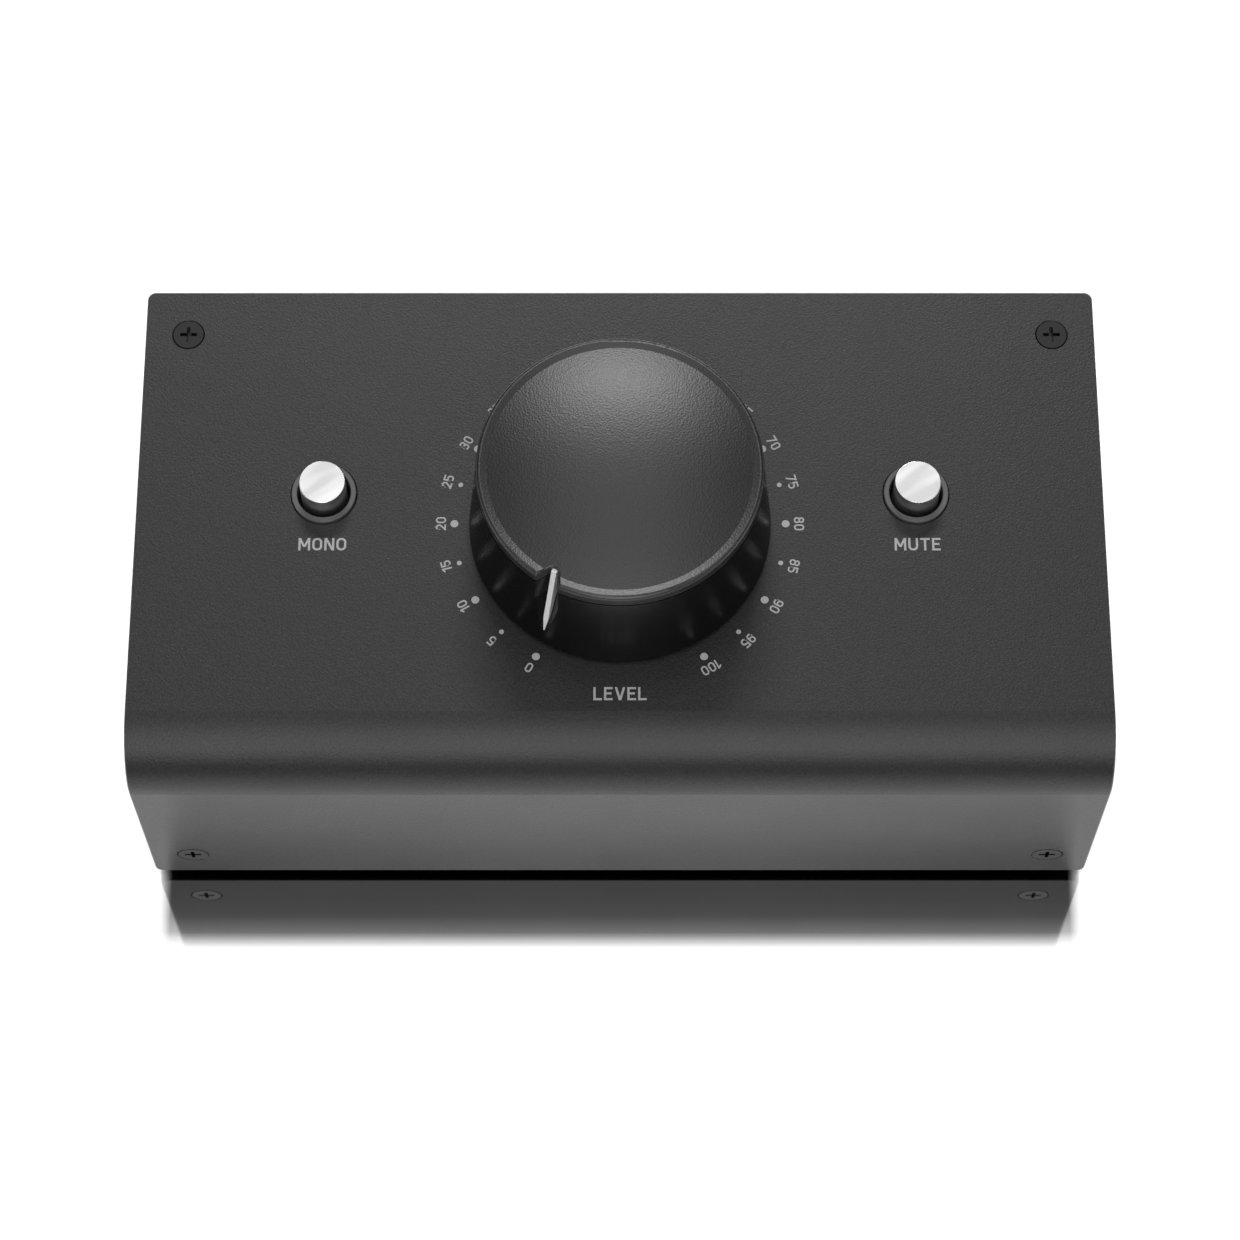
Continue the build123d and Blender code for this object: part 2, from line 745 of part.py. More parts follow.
# Round-bored can, closed above by the bushing's plate.
with BuildPart() as pot_can:
    with BuildSketch(knob_plane.offset(pot_plate_bottom)):
        RectangleRounded(pot_plate_width, pot_plate_width, pot_corner)
    extrude(amount=-pot_body_height)
    with BuildSketch(knob_plane.offset(pot_plate_bottom)):
        Circle(pot_bore_radius)
    extrude(amount=pot_floor - pot_body_height, mode=Mode.SUBTRACT)
pot_can.part.label = "pot_can"
export_step(pot_can.part, "parts/pot_can.step")

with BuildPart() as pot_bushing:
    with BuildSketch(knob_plane.offset(pot_plate_bottom)):
        RectangleRounded(pot_plate_width, pot_plate_width, pot_corner)
    extrude(amount=pot_plate_thickness)
    with BuildSketch(knob_plane.offset(-cover_thickness)):
        Circle(bushing_radius)
    extrude(amount=cover_thickness + bushing_proud)
    with BuildSketch(knob_plane.offset(bushing_proud)):
        Circle(shaft_radius + shaft_clear)
    extrude(amount=pot_plate_bottom - bushing_proud, mode=Mode.SUBTRACT)
pot_bushing.part.label = "pot_bushing"
export_step(pot_bushing.part, "parts/pot_bushing.step")

with BuildPart() as pot_washer:
    with BuildSketch(knob_plane):
        Circle(washer_radius)
        Circle(bushing_radius + nut_gap, mode=Mode.SUBTRACT)
    extrude(amount=washer_thickness)
pot_washer.part.label = "pot_washer"
export_step(pot_washer.part, "parts/pot_washer.step")

with BuildPart() as pot_nut:
    with BuildSketch(knob_plane.offset(washer_thickness)):
        RegularPolygon(pot_nut_flats / 2, 6, major_radius=False)
        Circle(bushing_radius + nut_gap, mode=Mode.SUBTRACT)
    extrude(amount=pot_nut_thickness)
pot_nut.part.label = "pot_nut"
export_step(pot_nut.part, "parts/pot_nut.step")

with BuildPart() as pot_terminals:
    with BuildSketch(Plane.XY.offset(control_board_top)):
        with Locations((0, dial_y)):
            with GridLocations(pot_pin_spacing_x, pot_pin_spacing_y, 3, 2):
                Rectangle(pin_width, pin_width)
    extrude(amount=-board_thickness - pin_proud)
pot_terminals.part.label = "pot_terminals"
export_step(pot_terminals.part, "parts/pot_terminals.step")

# ================================================================ buttons and switches
spring_bottom = switch_top + spring_end_gap
button_roof_z = button_top - button_roof
spring_top = button_roof_z - spring_end_gap
for name, place_x in (("mono", -button_place_x), ("mute", button_place_x)):
    button_plane = Plane(origin=(place_x, button_y, 0))

    # Hollow cap, open below.
    with BuildPart() as button_cap:
        with BuildSketch(button_plane.offset(button_bottom)):
            Circle(button_radius)
        extrude(amount=button_length)
        fillet(button_cap.edges().group_by(Axis.Z)[-1], button_round)
        with BuildSketch(button_plane.offset(button_bottom)):
            Circle(button_radius - button_wall)
        extrude(amount=button_length - button_roof, mode=Mode.SUBTRACT)
    button_cap.part.label = f"{name}_cap"
    export_step(button_cap.part, f"parts/{name}_cap.step")

    # Square plunger, from its well in the switch up to the roof of the cap.
    with BuildPart() as plunger:
        with BuildSketch(button_plane.offset(switch_top - plunger_in_well)):
            Rectangle(plunger_width, plunger_width)
        extrude(amount=button_roof_z - switch_top + plunger_in_well)
    plunger.part.label = f"{name}_plunger"
    export_step(plunger.part, f"parts/{name}_plunger.step")

    # Return spring around the plunger.
    with BuildPart() as spring:
        spring_height = spring_top - spring_bottom - 2 * spring_wire_radius
        coil_centre = (place_x, button_y, spring_bottom + spring_wire_radius)
        with BuildLine() as coil_line:
            Helix(
                pitch=spring_height / spring_turns,
                height=spring_height,
                radius=spring_radius,
                center=coil_centre,
            )
        with BuildSketch(Plane(origin=coil_line.line @ 0, z_dir=coil_line.line % 0)):
            RegularPolygon(spring_wire_radius, wire_sides)
        sweep(is_frenet=True)
    spring.part.label = f"{name}_spring"
    export_step(spring.part, f"parts/{name}_spring.step")

    # Bezel ring, held from below by its flange and standing a little above the cover.
    with BuildPart() as bezel:
        with BuildSketch(button_plane.offset(cover_under - bezel_flange_thickness)):
            Circle(bezel_flange_radius)
        extrude(amount=bezel_flange_thickness)
        with BuildSketch(button_plane.offset(cover_under)):
            Circle(bezel_radius)
        extrude(amount=cover_thickness + bezel_proud)
        with BuildSketch(button_plane.offset(bezel_top)):
            Circle(bezel_bore_radius)
        extrude(
            amount=-cover_thickness - bezel_proud - bezel_flange_thickness,
            mode=Mode.SUBTRACT,
        )
        chamfer(bezel.edges().group_by(Axis.Z)[-1], cover_edge_break / 2)
    bezel.part.label = f"{name}_bezel"
    export_step(bezel.part, f"parts/{name}_bezel.step")

    # Switch body with the square well of the plunger.
    with BuildPart() as switch_body:
        with BuildSketch(button_plane.offset(control_board_top)):
            RectangleRounded(switch_width, switch_width, switch_corner)
        extrude(amount=switch_height)
        with BuildSketch(button_plane.offset(switch_top)):
            Rectangle(plunger_width + 2 * plunger_clear, plunger_width + 2 * plunger_clear)
        extrude(amount=-plunger_in_well - button_travel - well_spare, mode=Mode.SUBTRACT)
    switch_body.part.label = f"{name}_switch_body"
    export_step(switch_body.part, f"parts/{name}_switch_body.step")

    with BuildPart() as switch_pins:
        with BuildSketch(button_plane.offset(control_board_top)):
            with GridLocations(switch_pin_spacing_x, switch_pin_spacing_y, 2, 3):
                Rectangle(pin_width, pin_width)
        extrude(amount=-board_thickness - pin_proud)
    switch_pins.part.label = f"{name}_switch_pins"
    export_step(switch_pins.part, f"parts/{name}_switch_pins.step")

# ================================================================ boards
resistor_span = resistor_length + 2 * resistor_lead_reach
resistor_axis_z = control_board_top + resistor_lift + resistor_radius
resistor_rows = [
    dial_y + (row - (resistor_count - 1) / 2) * resistor_pitch for row in range(resistor_count)
]
with BuildPart() as control_board:
    board_width = 2 * (chassis_inner_half - control_board_side_gap)
    board_span = control_board_front + control_board_rear
    pin_hole = pin_width + 2 * pin_hole_clear
    with BuildSketch(Plane.XY.offset(control_board_bottom)):
        with Locations((0, dial_y + (control_board_rear - control_board_front) / 2)):
            RectangleRounded(board_width, board_span, board_corner_radius)
        with Locations((0, dial_y)):
            with GridLocations(pot_pin_spacing_x, pot_pin_spacing_y, 3, 2):
                Rectangle(pin_hole, pin_hole, mode=Mode.SUBTRACT)
        with Locations((-button_place_x, button_y), (button_place_x, button_y)):
            with GridLocations(switch_pin_spacing_x, switch_pin_spacing_y, 2, 3):
                Rectangle(pin_hole, pin_hole, mode=Mode.SUBTRACT)
        for row_y in resistor_rows:
            with Locations((resistor_place_x, row_y)):
                with GridLocations(resistor_span, 0, 2, 1):
                    Circle(resistor_lead_radius + resistor_lead_hole_clear, mode=Mode.SUBTRACT)
    extrude(amount=board_thickness)
control_board.part.label = "control_board"
export_step(control_board.part, "parts/control_board.step")

# Resistors that sum the two channels, lying on the control board with bent leads.
with BuildPart() as summing_resistors:
    for row_y in resistor_rows:
        resistor_section = Plane(
            origin=(resistor_place_x, row_y, resistor_axis_z), x_dir=(1, 0, 0), z_dir=(0, -1, 0)
        )
        with BuildSketch(resistor_section):
            with BuildLine():
                end = resistor_length / 2
                Polyline(
                    (-end, 0),
                    (-end, resistor_radius),
                    (-end + resistor_band, resistor_radius),
                    (-end + resistor_band, resistor_waist_radius),
                    (end - resistor_band, resistor_waist_radius),
                    (end - resistor_band, resistor_radius),
                    (end, resistor_radius),
                    (end, 0),
                    close=True,
                )
            make_face()
        revolve(axis=Axis((resistor_place_x, row_y, resistor_axis_z), (1, 0, 0)))
        lead_drop = resistor_axis_z - control_board_bottom + pin_proud
        with BuildLine(resistor_section) as lead_line:
            FilletPolyline(
                (-resistor_span / 2, -lead_drop),
                (-resistor_span / 2, 0),
                (resistor_span / 2, 0),
                (resistor_span / 2, -lead_drop),
                radius=resistor_lead_bend,
            )
        with BuildSketch(Plane(origin=lead_line.line @ 0, z_dir=lead_line.line % 0)):
            RegularPolygon(resistor_lead_radius, wire_sides)
        sweep(path=lead_line.line)
summing_resistors.part.label = "summing_resistors"
export_step(summing_resistors.part, "parts/summing_resistors.step")

# Sockets stand on this board; the blades of their contacts pass through it.
combo_rows_y = [wall_y - combo_blade_from_wall - row * combo_blade_pitch for row in range(blade_rows)]
output_rows_y = [
    wall_y - output_blade_from_wall - row * output_blade_pitch for row in range(blade_rows)
]
aux_rows_y = [wall_y - aux_blade_from_wall - row * aux_blade_pitch for row in range(blade_rows)]
blade_groups = [
    ("left_input", combo_places[0], combo_width, combo_rows_y, blade_rise),
    ("right_input", combo_places[1], combo_width, combo_rows_y, blade_rise),
    ("left_output", output_places[0], output_width, output_rows_y, blade_rise),
    ("right_output", output_places[1], output_width, output_rows_y, blade_rise),
    ("aux_input", aux_place_x, aux_width, aux_rows_y, aux_blade_rise),
]
with BuildPart() as jack_board:
    board_rear = wall_y - chassis_thickness - jack_board_flange_gap
    board_width = 2 * (chassis_inner_half - jack_board_side_gap)
    with BuildSketch(Plane.XY.offset(jack_board_top - board_thickness)):
        with Locations((0, board_rear - jack_board_depth / 2)):
            RectangleRounded(board_width, jack_board_depth, board_corner_radius)
        for group_name, place, width, rows, rise in blade_groups:
            for row_y in rows:
                with Locations((place, row_y)):
                    with GridLocations(width - blade_thickness, 0, 2, 1):
                        Rectangle(
                            blade_thickness + 2 * pin_hole_clear,
                            blade_width + 2 * pin_hole_clear,
                            mode=Mode.SUBTRACT,
                        )
    extrude(amount=board_thickness)
jack_board.part.label = "jack_board"
export_step(jack_board.part, "parts/jack_board.step")

# Contact blades, let into both sides of each socket.
for group_name, place, width, rows, rise in blade_groups:
    with BuildPart() as contacts:
        with BuildSketch(Plane.XY.offset(jack_board_top - board_thickness - pin_proud)):
            for row_y in rows:
                with Locations((place, row_y)):
                    with GridLocations(width - blade_thickness, 0, 2, 1):
                        Rectangle(blade_thickness, blade_width)
        extrude(amount=rise + board_thickness + pin_proud)
    contacts.part.label = f"{group_name}_contacts"
    export_step(contacts.part, f"parts/{group_name}_contacts.step")

# Two headers and the flat cable between the boards.
upper_header_y = dial_y - upper_header_ahead
lower_header_y = dial_y + lower_header_behind
with BuildPart() as upper_header:
    with BuildSketch(Plane.XY.offset(control_board_bottom)):
        with Locations((header_place_x, upper_header_y)):
            Rectangle(header_width, header_depth)
    extrude(amount=-header_height)
upper_header.part.label = "upper_header"
export_step(upper_header.part, "parts/upper_header.step")

with BuildPart() as lower_header:
    with BuildSketch(Plane.XY.offset(jack_board_top)):
        with Locations((header_place_x, lower_header_y)):
            Rectangle(header_width, header_depth)
    extrude(amount=header_height)
lower_header.part.label = "lower_header"
export_step(lower_header.part, "parts/lower_header.step")

with BuildPart() as ribbon_cable:
    ribbon_start = control_board_bottom - header_height
    ribbon_end = jack_board_top + header_height
    with BuildLine(Plane.YZ.offset(header_place_x)) as ribbon_line:
        FilletPolyline(
            (upper_header_y, ribbon_start),
            (upper_header_y, ribbon_start - ribbon_straight),
            (lower_header_y, ribbon_end + ribbon_straight),
            (lower_header_y, ribbon_end),
            radius=ribbon_bend_radius,
        )
    with BuildSketch(Plane(origin=ribbon_line.line @ 0, x_dir=(1, 0, 0), z_dir=(0, 0, -1))):
        Rectangle(ribbon_width, ribbon_thickness)
    sweep(path=ribbon_line.line)
ribbon_cable.part.label = "ribbon_cable"
export_step(ribbon_cable.part, "parts/ribbon_cable.step")

# ================================================================ sockets
# Combined inputs: a round plug bore and three pin holes inside a ring-shaped groove.
for name, place in (("left_input", combo_places[0]), ("right_input", combo_places[1])):
    with BuildPart() as combo_jack:
        with BuildSketch(wall_plane):
            with Locations((-place, jack_axis_z)):
                RectangleRounded(combo_width, combo_height, combo_corner)
        extrude(amount=-combo_depth)
        with BuildSketch(wall_plane):
            with Locations((-place, jack_axis_z)):
                Circle(combo_nose_radius)
        extrude(amount=chassis_thickness + combo_nose_proud)
        with BuildSketch(rear_plane.offset(combo_nose_proud)):
            with Locations((-place, jack_axis_z)):
                Circle(combo_groove_outer)
                Circle(combo_groove_inner, mode=Mode.SUBTRACT)
        extrude(amount=-combo_groove_depth, mode=Mode.SUBTRACT)
        with BuildSketch(rear_plane.offset(combo_nose_proud)):
            with Locations((-place, jack_axis_z)):
                Circle(combo_groove_inner)
        extrude(amount=-combo_face_recess, mode=Mode.SUBTRACT)
        with BuildSketch(rear_plane):
            with Locations((-place, jack_axis_z)):
                with PolarLocations(combo_pin_from_axis, 3, start_angle=-90):
                    Circle(combo_pin_radius)
        extrude(amount=-combo_pin_depth, mode=Mode.SUBTRACT)
        with BuildSketch(wall_plane.offset(-combo_depth)):
            with Locations((-place, jack_axis_z)):
                Circle(plug_bore_radius)
        extrude(
            amount=combo_depth + chassis_thickness + combo_nose_proud,
            mode=Mode.SUBTRACT,
        )
        with BuildSketch(wall_plane):
            with Locations(*combo_screw_places):
                Circle(rear_screw_radius + thread_gap)
        extrude(amount=-rear_screw_length, mode=Mode.SUBTRACT)
        with BuildSketch(Plane.XY.offset(jack_board_top)):
            for row_y in combo_rows_y:
                with Locations((place, row_y)):
                    with GridLocations(combo_width, 0, 2, 1):
                        Rectangle(
                            2 * (blade_thickness + blade_gap), blade_width + 2 * blade_gap
                        )
        extrude(amount=blade_rise + blade_gap, mode=Mode.SUBTRACT)
    combo_jack.part.label = f"{name}_jack"
    export_step(combo_jack.part, f"parts/{name}_jack.step")

# Pan-head screws of the back: two for each combined input, and four for the panel itself.
for name, places in (
    ("input_jack_screws", combo_screw_places),
    ("rear_panel_screws", panel_screw_places),
):
    with BuildPart() as rear_screws:
        with BuildSketch(rear_plane):
            with Locations(*places):
                Circle(rear_screw_head_radius)
        extrude(amount=rear_screw_head_height)
        chamfer(rear_screws.edges().group_by(Axis.Y)[-1], rear_screw_head_chamfer)
        with BuildSketch(rear_plane):
            with Locations(*places):
                Circle(rear_screw_radius)
        extrude(amount=-rear_screw_length)
        with BuildSketch(rear_plane.offset(rear_screw_head_height)):
            with Locations(*places):
                Rectangle(screw_recess_length, screw_recess_width)
                Rectangle(screw_recess_width, screw_recess_length)
        extrude(amount=-screw_recess_depth, mode=Mode.SUBTRACT)
    rear_screws.part.label = name
    export_step(rear_screws.part, f"parts/{name}.step")

# Output sockets with a threaded nose through the back.
for name, place in (("left_output", output_places[0]), ("right_output", output_places[1])):
    with BuildPart() as output_jack:
        housing_height = jack_axis_z + output_above_axis - jack_board_top
        with BuildSketch(wall_plane):
            with Locations((-place, jack_board_top + housing_height / 2)):
                RectangleRounded(output_width, housing_height, output_corner)
        extrude(amount=-output_depth)
        with BuildSketch(wall_plane):
            with Locations((-place, jack_axis_z)):
                Circle(output_nose_radius)
        extrude(amount=chassis_thickness + output_nose_proud)
        with BuildSketch(wall_plane.offset(-output_depth)):
            with Locations((-place, jack_axis_z)):
                Circle(plug_bore_radius)
        extrude(
            amount=output_depth + chassis_thickness + output_nose_proud,
            mode=Mode.SUBTRACT,
        )
        with BuildSketch(Plane.XY.offset(jack_board_top)):
            for row_y in output_rows_y:
                with Locations((place, row_y)):
                    with GridLocations(output_width, 0, 2, 1):
                        Rectangle(
                            2 * (blade_thickness + blade_gap), blade_width + 2 * blade_gap
                        )
        extrude(amount=blade_rise + blade_gap, mode=Mode.SUBTRACT)
    output_jack.part.label = f"{name}_jack"
    export_step(output_jack.part, f"parts/{name}_jack.step")

with BuildPart() as output_washers:
    with BuildSketch(rear_plane):
        for place in output_places:
            with Locations((-place, jack_axis_z)):
                Circle(output_washer_radius)
                Circle(output_nose_radius + nut_gap, mode=Mode.SUBTRACT)
    extrude(amount=output_washer_thickness)
output_washers.part.label = "output_washers"
export_step(output_washers.part, "parts/output_washers.step")

with BuildPart() as output_nuts:
    with BuildSketch(rear_plane.offset(output_washer_thickness)):
        for place in output_places:
            with Locations((-place, jack_axis_z)):
                RegularPolygon(output_nut_flats / 2, 6, major_radius=False)
    extrude(amount=output_nut_thickness)
    chamfer(output_nuts.edges().group_by(Axis.Y)[-1], nut_chamfer)
    with BuildSketch(rear_plane.offset(output_washer_thickness)):
        for place in output_places:
            with Locations((-place, jack_axis_z)):
                Circle(output_nose_radius + nut_gap)
    extrude(amount=output_nut_thickness, mode=Mode.SUBTRACT)
output_nuts.part.label = "output_nuts"
export_step(output_nuts.part, "parts/output_nuts.step")

# Small stereo input socket with a round nut.
with BuildPart() as aux_input_jack:
    with BuildSketch(wall_plane):
        with Locations((-aux_place_x, aux_axis_z)):
            Rectangle(aux_width, aux_height)
    extrude(amount=-aux_depth)
    with BuildSketch(wall_plane):
        with Locations((-aux_place_x, aux_axis_z)):
            Circle(aux_nose_radius)
    extrude(amount=chassis_thickness + aux_nose_proud)
    with BuildSketch(wall_plane.offset(-aux_depth)):
        with Locations((-aux_place_x, aux_axis_z)):
            Circle(aux_bore_radius)
    extrude(amount=aux_depth + chassis_thickness + aux_nose_proud, mode=Mode.SUBTRACT)
    with BuildSketch(Plane.XY.offset(jack_board_top)):
        for row_y in aux_rows_y:
            with Locations((aux_place_x, row_y)):
                with GridLocations(aux_width, 0, 2, 1):
                    Rectangle(2 * (blade_thickness + blade_gap), blade_width + 2 * blade_gap)
    extrude(amount=aux_blade_rise + blade_gap, mode=Mode.SUBTRACT)
aux_input_jack.part.label = "aux_input_jack"
export_step(aux_input_jack.part, "parts/aux_input_jack.step")

with BuildPart() as aux_input_nut:
    with BuildSketch(rear_plane):
        with Locations((-aux_place_x, aux_axis_z)):
            Circle(aux_nut_radius)
            Circle(aux_nose_radius + nut_gap, mode=Mode.SUBTRACT)
    extrude(amount=aux_nut_thickness)
aux_input_nut.part.label = "aux_input_nut"
export_step(aux_input_nut.part, "parts/aux_input_nut.step")
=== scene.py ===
import json
from math import cos, pi, radians, sin

import bmesh
import bpy
from mathutils import Matrix, Vector


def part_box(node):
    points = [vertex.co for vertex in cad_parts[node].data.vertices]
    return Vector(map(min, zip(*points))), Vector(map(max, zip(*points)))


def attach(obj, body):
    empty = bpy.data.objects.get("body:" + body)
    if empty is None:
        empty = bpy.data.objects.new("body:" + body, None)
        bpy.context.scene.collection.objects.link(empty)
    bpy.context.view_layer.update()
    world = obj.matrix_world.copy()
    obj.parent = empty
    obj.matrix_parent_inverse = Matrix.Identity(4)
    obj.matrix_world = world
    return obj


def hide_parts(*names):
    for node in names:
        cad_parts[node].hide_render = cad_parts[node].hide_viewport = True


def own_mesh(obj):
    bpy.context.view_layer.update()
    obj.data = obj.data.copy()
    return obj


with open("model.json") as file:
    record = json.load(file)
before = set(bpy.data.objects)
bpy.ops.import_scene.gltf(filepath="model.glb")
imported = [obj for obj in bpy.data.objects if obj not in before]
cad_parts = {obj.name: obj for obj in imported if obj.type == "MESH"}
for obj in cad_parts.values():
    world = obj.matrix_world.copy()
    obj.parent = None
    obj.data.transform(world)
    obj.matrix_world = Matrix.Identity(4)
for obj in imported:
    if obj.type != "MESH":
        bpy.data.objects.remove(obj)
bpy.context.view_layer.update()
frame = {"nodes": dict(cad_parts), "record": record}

# The looks of the studio monitor controller. Metres, +X right, +Y to the rear, +Z up, as in the frame.
MM = 0.001

# ---------------------------------------------------------------- places taken from the frame
cover_low, cover_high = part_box("top_cover")
shaft_low, shaft_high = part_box("pot_shaft")
case_top = cover_high.z
dial = Vector(((shaft_low.x + shaft_high.x) / 2, (shaft_low.y + shaft_high.y) / 2, case_top))


def middle(node):
    """The middle of a CAD node's box."""
    low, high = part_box(node)
    return (low + high) / 2


# ---------------------------------------------------------------- materials
def new_material(name):
    """A new node material, its nodes and links, and its Principled shader."""
    material = bpy.data.materials.new(name)
    material.use_nodes = True
    tree = material.node_tree
    return material, tree.nodes, tree.links, tree.nodes["Principled BSDF"]


def set_shader(shader, **values):
    """Sets sockets of the Principled shader by their names, with _ for a space."""
    for name, value in values.items():
        shader.inputs[name.replace("_", " ")].default_value = value


def noise(nodes, links, coords, scale, detail=2.0, roughness=0.5):
    """A noise texture in object space. The scale is in cells per metre."""
    texture = nodes.new("ShaderNodeTexNoise")
    texture.inputs["Scale"].default_value = scale
    texture.inputs["Detail"].default_value = detail
    texture.inputs["Roughness"].default_value = roughness
    links.new(coords, texture.inputs["Vector"])
    return texture.outputs["Fac"]


def ramp(nodes, links, source, low, high, start=0.3, stop=0.7):
    """A colour ramp between two greys or colours."""
    node = nodes.new("ShaderNodeValToRGB")
    node.color_ramp.elements[0].position = start
    node.color_ramp.elements[1].position = stop
    node.color_ramp.elements[0].color = (*low, 1)
    node.color_ramp.elements[1].color = (*high, 1)
    links.new(source, node.inputs["Fac"])
    return node.outputs["Color"]


def remap(nodes, links, source, low, high, start=0.3, stop=0.7):
    """A number taken from one range to another."""
    node = nodes.new("ShaderNodeMapRange")
    node.inputs["From Min"].default_value = start
    node.inputs["From Max"].default_value = stop
    node.inputs["To Min"].default_value = low
    node.inputs["To Max"].default_value = high
    links.new(source, node.inputs["Value"])
    return node.outputs["Result"]


def bump(nodes, links, source, shader, height):
    """A bump of that height in metres on the shader's normal."""
    node = nodes.new("ShaderNodeBump")
    node.inputs["Distance"].default_value = height
    node.inputs["Strength"].default_value = 1.0
    links.new(source, node.inputs["Height"])
    links.new(node.outputs["Normal"], shader.inputs["Normal"])


def object_coords(nodes):
    """Object space coordinates, in metres."""
    return nodes.new("ShaderNodeTexCoord").outputs["Object"]


# cells of the slow noise in the roughness, as a part of the grain's, and how far it goes each way
CLOUD_SCALE = 1 / 40
CLOUD_SPREAD = 0.03


def grained(name, colour, spread, roughness, grain_scale, grain_height, **values):
    """A finish with a fine grain: colour and height follow one noise, roughness a slower one."""
    material, nodes, links, shader = new_material(name)
    coords = object_coords(nodes)
    grain = noise(nodes, links, coords, grain_scale, 3.0, 0.6)
    cloud = noise(nodes, links, coords, grain_scale * CLOUD_SCALE)
    low = tuple(c * (1 - spread) for c in colour)
    high = tuple(c * (1 + spread) for c in colour)
    links.new(ramp(nodes, links, grain, low, high), shader.inputs["Base Color"])
    smooth, rough = roughness * (1 - CLOUD_SPREAD), roughness * (1 + CLOUD_SPREAD)
    links.new(remap(nodes, links, cloud, smooth, rough), shader.inputs["Roughness"])
    bump(nodes, links, grain, shader, grain_height)
    set_shader(shader, **values)
    return material


def grey(value):
    """A grey as three equal parts."""
    return (value, value, value)


def cover_paint():
    """Matt black powder paint with a visible grain."""
    return grained("cover_paint", grey(0.0075), 0.95, 0.38, 3600, 0.04 * MM, IOR=1.45)


def chassis_paint():
    """The plainer black paint of the chassis and the rear panel."""
    return grained("chassis_paint", grey(0.009), 0.4, 0.5, 5200, 0.012 * MM)


def screw_black():
    """Blackened steel of the screws."""
    return grained("screw_black", grey(0.003), 0.15, 0.22, 3000, 0.003 * MM)


def foot_rubber():
    """Matt black rubber."""
    return grained("foot_rubber", grey(0.012), 0.2, 0.85, 2600, 0.02 * MM)


def knob_gloss():
    """Deep black glossy plastic of the knob's skirt."""
    return grained("knob_gloss", grey(0.0006), 0.1, 0.27, 900, 0.0008 * MM, IOR=1.38)


def knob_satin():
    """Satin plastic with a leather-like grain of small raised cells."""
    material, nodes, links, shader = new_material("knob_satin")
    coords = object_coords(nodes)
    cells = nodes.new("ShaderNodeTexVoronoi")
    cells.feature = "SMOOTH_F1"
    cells.inputs["Scale"].default_value = 3700
    cells.inputs["Smoothness"].default_value = 0.4
    links.new(coords, cells.inputs["Vector"])
    fine = noise(nodes, links, coords, 6000)
    links.new(ramp(nodes, links, fine, grey(0.008), grey(0.013)), shader.inputs["Base Color"])
    links.new(remap(nodes, links, fine, 0.32, 0.36), shader.inputs["Roughness"])
    bump(nodes, links, cells.outputs["Distance"], shader, 0.014 * MM)
    set_shader(shader, IOR=1.55)
    return material


def pointer_white():
    """White plastic of the knob's pointer."""
    return grained("pointer_white", grey(0.62), 0.04, 0.45, 1500, 0.002 * MM)


def button_silver():
    """Satin silver with faint streaks that run one way, as polishing leaves them."""
    material, nodes, links, shader = new_material("button_silver")
    coords = object_coords(nodes)
    stretch = nodes.new("ShaderNodeMapping")
    stretch.vector_type = "TEXTURE"
    stretch.inputs["Scale"].default_value = (3.5, 1, 1)
    stretch.inputs["Rotation"].default_value = (0, 0, radians(35))
    links.new(coords, stretch.inputs["Vector"])
    streak = noise(nodes, links, stretch.outputs["Vector"], 420, 1.0)
    links.new(ramp(nodes, links, streak, grey(0.54), grey(0.7), 0.38, 0.62), shader.inputs["Base Color"])
    links.new(remap(nodes, links, streak, 0.3, 0.33), shader.inputs["Roughness"])
    bump(nodes, links, streak, shader, 0.0003 * MM)
    set_shader(shader, Metallic=1.0)
    return material


def bezel_grey():
    """Grey plastic of the rings round the buttons."""
    return grained("bezel_grey", grey(0.08), 0.06, 0.4, 2500, 0.003 * MM)


def jack_black():
    """Black plastic of the sockets."""
    return grained("jack_black", grey(0.02), 0.15, 0.4, 2000, 0.006 * MM)


def metal(name, colour, roughness):
    """Plain metal with a very fine grain."""
    return grained(name, colour, 0.05, roughness, 2500, 0.002 * MM, Metallic=1.0)


def print_grey():
    """Screen-printed ink."""
    return grained("print_grey", grey(0.34), 0.05, 0.55, 6000, 0.003 * MM)


def plain(name, colour, roughness):
    """Moulded plastic and the like on pieces that hardly show."""
    return grained(name, colour, 0.08, roughness, 1500, 0.004 * MM)


finishes = {
    "cover_paint": cover_paint(),
    "chassis_paint": chassis_paint(),
    "screw_black": screw_black(),
    "foot_rubber": foot_rubber(),
    "knob_gloss": knob_gloss(),
    "knob_satin": knob_satin(),
    "pointer_white": pointer_white(),
    "button_silver": button_silver(),
    "bezel_grey": bezel_grey(),
    "jack_black": jack_black(),
    "nickel": metal("nickel", (0.66, 0.65, 0.62), 0.22),
    "contact_metal": metal("contact_metal", (0.8, 0.74, 0.6), 0.3),
    "bare_steel": metal("bare_steel", (0.55, 0.55, 0.56), 0.35),
    "spring_steel": metal("spring_steel", (0.42, 0.42, 0.44), 0.3),
    "phenolic_brown": plain("phenolic_brown", (0.12, 0.06, 0.03), 0.5),
    "track_black": plain("track_black", grey(0.03), 0.6),
    "inner_white": plain("inner_white", (0.7, 0.7, 0.68), 0.45),
    "inner_black": plain("inner_black", grey(0.03), 0.5),
    "board_green": plain("board_green", (0.02, 0.14, 0.06), 0.35),
    "resistor_blue": plain("resistor_blue", (0.1, 0.25, 0.4), 0.3),
    "ribbon_grey": plain("ribbon_grey", (0.4, 0.4, 0.42), 0.5),
}
slot_of = {row["node"]: row["material_slot"] for row in frame["record"]["subparts"]}
for name, node in frame["nodes"].items():
    for slot in node.material_slots:
        slot.material = finishes[slot_of[name]]
ink = print_grey()


